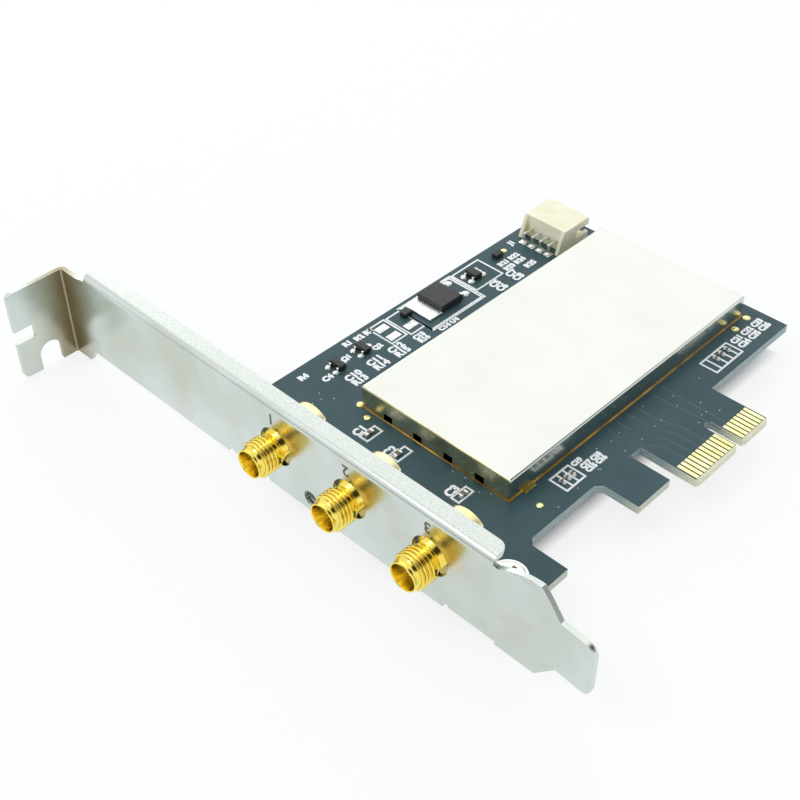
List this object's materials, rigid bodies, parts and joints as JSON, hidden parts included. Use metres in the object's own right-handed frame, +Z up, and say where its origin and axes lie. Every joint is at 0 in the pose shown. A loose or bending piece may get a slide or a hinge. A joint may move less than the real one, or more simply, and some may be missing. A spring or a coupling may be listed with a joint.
{
  "type": "wireless network card",
  "caption": "Plug-in wireless network card: folded steel slot bracket, gold antenna jacks, dark circuit board with edge connector, shield can and small cable header.",
  "frame": {"origin": "middle of the card's footprint, at the lower edge of the bracket's tab", "axes": "+X from the bracket along the board, +Y from the edge connector towards the bracket's tab, +Z up from the board's component side"},
  "size_m": [0.1002, 0.12, 0.0214],
  "materials": {
    "steel": "satin nickel-plated steel sheet",
    "tinned_sheet": "bright tin-plated sheet",
    "board_laminate": "slate solder mask on glass laminate",
    "cream_nylon": "matt moulded nylon",
    "gold_plated_brass": "polished gold plate on turned brass",
    "gold_plated_copper": "gold plate on copper foil",
    "white_insulator": "white fluoropolymer",
    "tinned_metal": "bright tin",
    "black_moulding": "black epoxy moulding",
    "tan_ceramic": "fired ceramic"
  },
  "bodies": {
    "root": {"antenna_capacitor_first": "tan_ceramic", "antenna_capacitor_second": "tan_ceramic", "antenna_capacitor_third": "tan_ceramic", "antenna_jack_1": "gold_plated_brass", "antenna_jack_2": "gold_plated_brass", "antenna_jack_3": "gold_plated_brass", "bracket": "steel", "bracket_screws": "steel", "circuit_board": "board_laminate", "coupling_capacitors_first": "tan_ceramic", "coupling_capacitors_second": "tan_ceramic", "decoupling_capacitors": "tan_ceramic", "diode_first": "black_moulding", "diode_second": "black_moulding", "edge_contacts_lower": "gold_plated_copper", "edge_contacts_upper": "gold_plated_copper", "front_end_first": "black_moulding", "front_end_second": "black_moulding", "front_end_third": "black_moulding", "header_housing": "cream_nylon", "header_pads": "tinned_metal", "header_pins": "tinned_metal", "inductor_first": "black_moulding", "inductor_second": "black_moulding", "jack_insulator_1": "white_insulator", "jack_insulator_2": "white_insulator", "jack_insulator_3": "white_insulator", "jack_pin_1": "gold_plated_brass", "jack_pin_2": "gold_plated_brass", "jack_pin_3": "gold_plated_brass", "load_switch": "black_moulding", "load_switch_leads": "tinned_metal", "memory_chip": "black_moulding", "radio_chip": "black_moulding", "reference_crystal": "tinned_metal", "regulator": "black_moulding", "regulator_leads": "tinned_metal", "regulator_tab": "tinned_metal", "shield_can": "tinned_sheet", "shield_ground_ring": "gold_plated_copper", "test_pads": "gold_plated_copper", "tinned_pads": "tinned_metal", "transistor_first": "black_moulding", "transistor_first_leads": "tinned_metal", "transistor_second": "black_moulding", "transistor_second_leads": "tinned_metal"}
  },
  "joints": []
}
